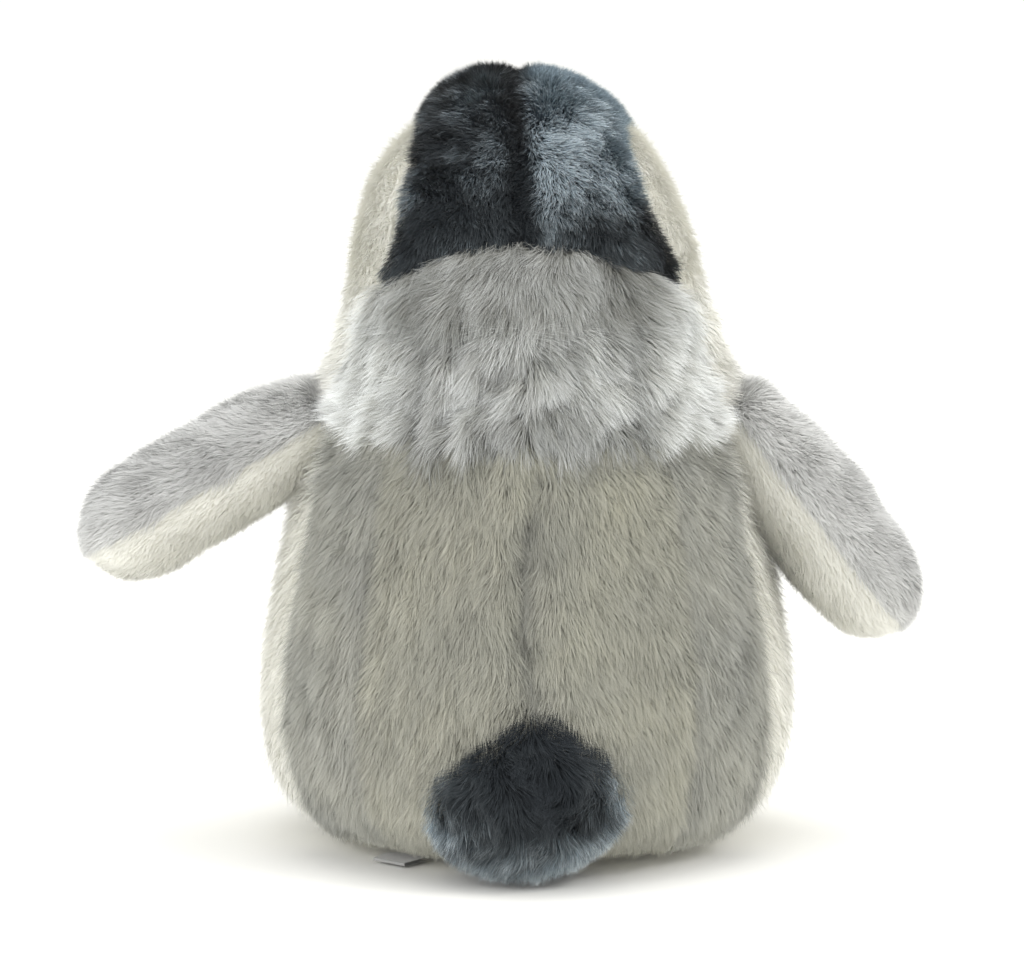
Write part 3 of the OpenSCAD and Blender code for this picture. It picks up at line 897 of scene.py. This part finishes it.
def nape_tone(laid):
    # Painted shade along the two nape seams; the pile beyond them is lighter.
    seams = ridge(abs(laid[:, 0]) - nape_seam_x, 6 * mm)
    side = step(abs(laid[:, 0]), nape_seam_x - 4 * mm, nape_seam_x + 12 * mm)
    return 0.13 * waves(laid, 9 * mm, 48) - 0.4 * seams + 0.5 * side - 0.22


def cheek_tone(laid):
    return 0.1 * waves(laid, 25 * mm, 49)


def off_face(laid):
    """No strands under the beak, under the eyes or under the head."""
    bare = (np.hypot(laid[:, 0], laid[:, 2] - mouth_z) < beak_r * 0.8) & (laid[:, 1] < 0) | under_cover(laid)
    for _, spot in eye_places():
        bare |= np.linalg.norm(laid - spot, axis=1) < eye_r * 1.15
    return bare


def face_length(laid):
    """The pile is clipped shorter round the beak and the eyes, and left longer along the neck."""
    short = 1 - 0.55 * ridge(np.linalg.norm(laid - beak_root, axis=1), 14 * mm)
    short += 0.6 * (1 - step(laid[:, 2], neck_z + 4 * mm, neck_z + 14 * mm))
    for _, spot in eye_places():
        short *= 1 - 0.5 * ridge(np.linalg.norm(laid - spot, axis=1), 11 * mm)
    return short


cap_fabric = (slate_fur, "slate_fur", 10.5, 5.8, (1.2, 0.75), 0.24, 0.7)
nape_fabric = (silver_fur, "silver_fur", 9.0, 11.0, (0.85, 0.28), 0.3, 0.8)
cheek_fabric = (cream_fur, "cream_fur", 8.5, 5.4, (0.6, 0.25), 0.0, 0.15)
head_fur = {
    "cap_left": (cap_fabric, cap_flow, cap_tone),
    "cap_right": (cap_fabric, cap_flow, cap_tone),
    "nape": (nape_fabric, nape_flow, nape_tone),
    "cheek_left": (cheek_fabric, cheek_flow, cheek_tone),
    "cheek_right": (cheek_fabric, cheek_flow, cheek_tone),
}
for order, (part, (fabric, flow, tone)) in enumerate(head_fur.items()):
    cover(
        head_skin, head_tri_part, part, fabric, flow, tone, 500 + 20 * order, "head",
        shorten=face_length, bald=off_face,
    )
fill(head_sack, head_skin, "head_stuffing", "head")

# ---------------------------------------------------------------- flippers
# Each flipper is a flat stuffed sleeve: a silver-grey panel on top and a cream one beneath, sewn round the edge
# and into the side of the trunk. The short pile is brushed towards the tip.
flipper_len = 79 * mm
flipper_half_t = 17 * mm
flipper_half_w = 26 * mm
flipper_pile_depth = 1.8 * mm
flipper_back = 9 * mm       # how far the root reaches past the shoulder line
droop = {"left": math.radians(29), "right": math.radians(51)}
flipper_grey = fur_dye(
    "flipper_grey",
    [(0.0, (0.36, 0.36, 0.345)), (0.5, (0.56, 0.56, 0.54)), (1.0, (0.80, 0.805, 0.79))],
    (0.68, 0.68, 0.68), (1.25, 1.25, 1.25),
)
flipper_fabric = {
    "top": (flipper_grey, "silver_fur", 9.5, 6.6, (1.0, 0.5), 0.05, 0.35),
    "under": (cream_fur, "cream_fur", 8.0, 5.0, (0.8, 0.35), 0.03, 0.2),
}


def flipper_size(s):
    """Half thickness and half width of the sleeve at a distance s from the shoulder line."""
    root = np.clip((s + flipper_back) / (26 * mm + flipper_back), 0, 1)
    tip = np.clip((flipper_len - flipper_pile_depth - s) / (27 * mm), 0, 1)
    fullness = np.minimum(1 - 0.36 * (1 - root) ** 1.5, 1.0) * np.sqrt(1 - (1 - np.clip(root * 6, 0, 1)) ** 2)
    taper = np.sqrt(np.clip(1 - (1 - tip) ** 2.8, 0, 1))
    half_t = (flipper_half_t - flipper_pile_depth) * fullness * taper
    half_w = (flipper_half_w - flipper_pile_depth) * np.sqrt(np.clip(fullness, 0, 1)) * taper
    return half_t, half_w


for order, side in enumerate(("left", "right")):
    sign = 1 if side == "left" else -1
    body = "flipper_" + side
    pivot = next(Vector(j["pos_m"]) for j in frame["joints"] if j["name"] == side + "_flap")
    bpy.ops.object.select_all(action="DESELECT")
    bpy.ops.mesh.primitive_uv_sphere_add(segments=72, ring_count=64, radius=1.0)
    sleeve = bpy.context.object
    ball = coordinates(sleeve.data)
    run = -flipper_back + (flipper_len - flipper_pile_depth + flipper_back) * (1 - ball[:, 2]) / 2
    turn = np.arctan2(ball[:, 1], ball[:, 0])
    half_t, half_w = flipper_size(run)
    flat = np.column_stack([run, -half_w * np.cos(turn) * sign, half_t * np.sin(turn)])
    flat[:, 2] -= 1.5 * mm * np.clip(run / flipper_len, 0, 1) ** 2

    def to_penguin(p, side=side, sign=sign, pivot=pivot):
        c, s = math.cos(droop[side]), math.sin(droop[side])
        x = p[:, 0] * c + p[:, 2] * s
        z = -p[:, 0] * s + p[:, 2] * c
        return np.column_stack([pivot.x + sign * x, pivot.y + p[:, 1], pivot.z + z])

    edge = ridge(np.sin(turn), 0.16)
    drawn = flat.copy()
    drawn[:, 1] *= 1 - 0.03 * edge
    sleeve.data.vertices.foreach_set("co", to_penguin(drawn).ravel())
    sleeve.data.update()
    hold = np.where(run < 2 * mm, 1.0, edge)
    stuff(sleeve, hold, 1.2 * mm, 2.0)
    skin = Skin(sleeve, flat)
    smooth_lumps(skin, 61 + order, 0.5 * mm, 28 * mm)
    seam_n = 1.5 * mm
    n_mid = skin.middles()[:, 2] + 1.5 * mm * np.clip(skin.middles()[:, 0] / flipper_len, 0, 1) ** 2
    tri_part = np.where(n_mid > seam_n, "flipper_top_" + side, "flipper_under_" + side)
    run_way = to_penguin(np.array([[1.0, 0, 0]]))[0] - to_penguin(np.array([[0.0, 0, 0]]))[0]

    def flipper_flow(laid, normal, run_way=run_way, to_penguin=to_penguin):
        from_root = to_penguin(laid) - to_penguin(np.array([[-flipper_back, 0.0, 0.0]]))
        root = 1 - step(laid[:, 0], -3 * mm, 8 * mm)
        return run_way + [0.0, 0.0, -0.2] + unit(from_root) * root[:, None] * 1.2

    def grey_tone(laid):
        # Painted light: the pile is painted paler near the root, to lift the shade where the flipper meets the
        # trunk.
        return 0.1 * waves(laid, 14 * mm, 71) + 0.3 * (1 - step(laid[:, 0], 0.0, 30 * mm))

    def cream_tone(laid):
        return 0.0 * laid[:, 0]

    for k, (layer, tone) in enumerate((("top", grey_tone), ("under", cream_tone))):
        part = "flipper_" + layer + "_" + side
        seed = 700 + 60 * order + 20 * k
        cover(skin, tri_part, part, flipper_fabric[layer], flipper_flow, tone, seed, body)
    fill(sleeve, skin, "flipper_stuffing_" + side, body)

# ---------------------------------------------------------------- feet
# Each foot is a small stuffed foot of charcoal short-pile cloth with three toes, made of an upper and a sole and
# sewn under the front of the trunk.
foot_x = 29 * mm
foot_front = -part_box("foot_upper_left")[0].y
toe_r = 8.5 * mm
toe_turn = math.radians(15)
heel_y = 55 * mm
sole_z = 4.0 * mm         # height of the seam between the sole and the upper
charcoal_cloth = fur_dye(
    "charcoal_pile",
    [(0.0, (0.010, 0.011, 0.012)), (0.6, (0.026, 0.029, 0.031)), (1.0, (0.06, 0.065, 0.068))],
    (0.6, 0.6, 0.6), (1.7, 1.7, 1.7),
)
foot_fabric = (charcoal_cloth, "charcoal_cloth", 3.5, 2.6, (1.1, 0.5), 0.3, 0.5)


def foot_flow(laid, normal):
    return np.tile([0.0, -1.0, -0.2], (len(laid), 1))


for order, (side, sign) in enumerate((("left", 1), ("right", -1))):
    bpy.ops.object.select_all(action="DESELECT")
    heel_place = Vector((sign * foot_x, -heel_y, toe_r + 1 * mm))
    toes = []
    for turn in (-toe_turn, 0.0, toe_turn):
        toe_len = foot_front - heel_y - toe_r
        tip_place = heel_place + Vector((math.sin(turn), -math.cos(turn), 0)) * toe_len
        bpy.ops.mesh.primitive_uv_sphere_add(segments=32, ring_count=24, radius=1.0, location=(0, 0, 0))
        toe = bpy.context.object
        ball = coordinates(toe.data)
        along = Vector((math.sin(turn), -math.cos(turn), 0))
        forward = ball @ np.array(along)
        share = step(forward, -0.4, 0.4)[:, None]
        thick = toe_r * (1.0 - 0.10 * np.sin(math.pi * share))
        placed = ball * (thick - 1.4 * mm) + np.array(heel_place) * (1 - share) + np.array(tip_place) * share
        toe.data.vertices.foreach_set("co", placed.ravel())
        toe.data.update()
        toes.append(toe)
    for toe in toes:
        toe.select_set(True)
    bpy.context.view_layer.objects.active = toes[0]
    bpy.ops.object.join()
    foot = bpy.context.object
    knit = foot.modifiers.new("one_skin", "REMESH")
    knit.mode = "VOXEL"
    knit.voxel_size = 1.1 * mm
    bpy.ops.object.modifier_apply(modifier=knit.name)
    relax = foot.modifiers.new("relax", "SMOOTH")
    relax.iterations = 4
    bpy.ops.object.modifier_apply(modifier=relax.name)
    foot_laid = coordinates(foot.data)
    foot_laid[:, 2] = np.maximum(foot_laid[:, 2], 1.0 * mm)
    foot.data.vertices.foreach_set("co", foot_laid.ravel())
    foot.data.update()
    foot_skin = Skin(foot, foot_laid)
    foot_tri_part = np.where(foot_skin.middles()[:, 2] > sole_z, "foot_upper_" + side, "foot_sole_" + side)
    for k, part in enumerate(("foot_upper_", "foot_sole_")):
        cover(
            foot_skin, foot_tri_part, part + side, foot_fabric, foot_flow, none_of,
            900 + 40 * order + 20 * k, "trunk", shorten=all_of if k == 0 else lambda laid: 0.4 * all_of(laid),
        )
    fill(foot, foot_skin, "foot_stuffing_" + side, "trunk", back=1.0 * mm)

# ---------------------------------------------------------------- beak
# The beak is two small stuffed halves of charcoal felt, a longer upper one and a lower one, that meet along the
# line of the mouth and are sewn to the face.
felt, felt_tree, felt_shader = finish_material("charcoal_felt", 0.85, Sheen_Weight=0.4, Sheen_Roughness=0.5)
felt_place = node(felt_tree, "ShaderNodeTexCoord", {}, {}, out=3)
felt_fuzz = node(felt_tree, "ShaderNodeTexNoise", {}, {0: felt_place, "Scale": 1400.0, "Detail": 5.0})
felt_dye = ramp(felt_tree, [(0.3, (0.014, 0.015, 0.016)), (0.75, (0.06, 0.063, 0.066))], felt_fuzz)
felt_tree.links.new(felt_dye.out, felt_shader.inputs["Base Color"])
felt_relief = {"Strength": 0.5, "Distance": 0.3 * mm, "Height": felt_fuzz}
felt_bump = node(felt_tree, "ShaderNodeBump", {}, felt_relief)
felt_tree.links.new(felt_bump.out, felt_shader.inputs["Normal"])
beak_reach = -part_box("beak_upper")[0].y
beak_start = neck_r - 7 * mm
for part, up in (("beak_upper", 1), ("beak_lower", -1)):
    reach = beak_reach - beak_start - (0 if up > 0 else 2.5 * mm)
    bpy.ops.object.select_all(action="DESELECT")
    bpy.ops.mesh.primitive_uv_sphere_add(segments=64, ring_count=48, radius=1.0)
    half_beak = bpy.context.object
    half_beak.name = part + "_felt"
    half_beak.data.name = half_beak.name
    ball = coordinates(half_beak.data)
    forward = np.clip((1 - ball[:, 1]) / 2, 0, 1)
    taper = (1 - 0.86 * forward**1.15) * np.minimum(1, np.sqrt(np.clip(ball[:, 1] + 1, 0, 1) * 8))
    wide = unit(ball * [1, 0, 1]) * [beak_r, 0, beak_r * (1.0 if up > 0 else 0.8)] * taper[:, None]
    wide[:, 2] = np.where(wide[:, 2] * up > 0, wide[:, 2], wide[:, 2] * 0.12) + 0.5 * mm * up
    wide[:, 2] -= 1.5 * mm * forward**2
    wide[:, 1] = -beak_start - reach * forward
    wide[:, 2] += mouth_z
    half_beak.data.vertices.foreach_set("co", wide.ravel())
    half_beak.data.update()
    half_beak.data.polygons.foreach_set("use_smooth", np.ones(len(half_beak.data.polygons), bool))
    half_beak.data.materials.append(felt)
    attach(half_beak, "head")
    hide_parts(part)

# ---------------------------------------------------------------- eyes
# The eyes are glossy dark domes of moulded plastic on a stem; a pale washer is pushed over each stem inside the
# head and locks it.
eye_plastic, eye_tree, eye_shader = finish_material("eye_plastic", 0.06, Coat_Weight=0.6, Coat_Roughness=0.03)
eye_place = node(eye_tree, "ShaderNodeTexCoord", {}, {}, out=3)
eye_depth = node(eye_tree, "ShaderNodeTexNoise", {}, {0: eye_place, "Scale": 160.0, "Detail": 2.0})
eye_dye = ramp(eye_tree, [(0.35, (0.006, 0.004, 0.003)), (0.7, (0.020, 0.012, 0.008))], eye_depth)
eye_tree.links.new(eye_dye.out, eye_shader.inputs["Base Color"])
washer_plastic, washer_tree, washer_shader = finish_material("washer_plastic", 0.45)
washer_place = node(washer_tree, "ShaderNodeTexCoord", {}, {}, out=3)
washer_flow = node(washer_tree, "ShaderNodeTexNoise", {}, {0: washer_place, "Scale": 220.0, "Detail": 3.0})
washer_dye = ramp(washer_tree, [(0.3, (0.74, 0.74, 0.72)), (0.7, (0.84, 0.84, 0.82))], washer_flow)
washer_tree.links.new(washer_dye.out, washer_shader.inputs["Base Color"])
for side in ("left", "right"):
    dress("eye_" + side, eye_plastic)
    dress("eye_washer_" + side, washer_plastic)

# ---------------------------------------------------------------- care label
# A plain folded satin label is caught in the seam round the base, beside the left back panel, and lies on the
# ground. It is blank.
satin, satin_tree, satin_shader = finish_material("label_satin", 0.4, Sheen_Weight=0.5)
satin_place = node(satin_tree, "ShaderNodeTexCoord", {}, {}, out=3)
satin_weave = node(
    satin_tree, "ShaderNodeTexWave", {"bands_direction": "X"},
    {0: satin_place, "Scale": 900.0, "Distortion": 1.0},
)
satin_dye = ramp(satin_tree, [(0.0, (0.30, 0.30, 0.29)), (1.0, (0.42, 0.42, 0.41))], satin_weave)
satin_tree.links.new(satin_dye.out, satin_shader.inputs["Base Color"])
label_w, label_run = 12 * mm, 22 * mm
bpy.ops.object.select_all(action="DESELECT")
bpy.ops.mesh.primitive_grid_add(x_subdivisions=40, y_subdivisions=16, size=1.0)
label = bpy.context.object
label.name = "care_label_satin"
label.data.name = label.name
cut = coordinates(label.data)
run = (cut[:, 0] + 0.5) * label_run
fold_r = 0.5 * mm
arm = label_run / 2 - fold_r * math.pi / 2
bend = np.clip((run - arm) / fold_r, 0, math.pi)
past_fold = np.where(bend < math.pi, arm + fold_r * np.sin(bend), label_run - run + arm - label_run + arm)
reach = np.where(run < arm, run, past_fold)
reach = np.where(bend >= math.pi, arm - (run - arm - fold_r * math.pi), reach)
height = fold_r * (1 - np.cos(bend)) + 0.9 * mm + 0.5 * mm * np.sin(reach / arm * 3.0) * (cut[:, 1] + 0.5)
out_way = np.array([math.sin(back_seam), math.cos(back_seam)])
side_way = np.array([out_way[1], -out_way[0]])
start = (base_r - 1 * mm) * out_way
label_co = np.column_stack([
    start[0] + out_way[0] * reach + side_way[0] * cut[:, 1] * label_w,
    start[1] + out_way[1] * reach + side_way[1] * cut[:, 1] * label_w,
    height,
])
label.data.vertices.foreach_set("co", label_co.ravel())
label.data.update()
label.data.polygons.foreach_set("use_smooth", np.ones(len(label.data.polygons), bool))
label.data.materials.append(satin)
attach(label, "trunk")
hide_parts("care_label")
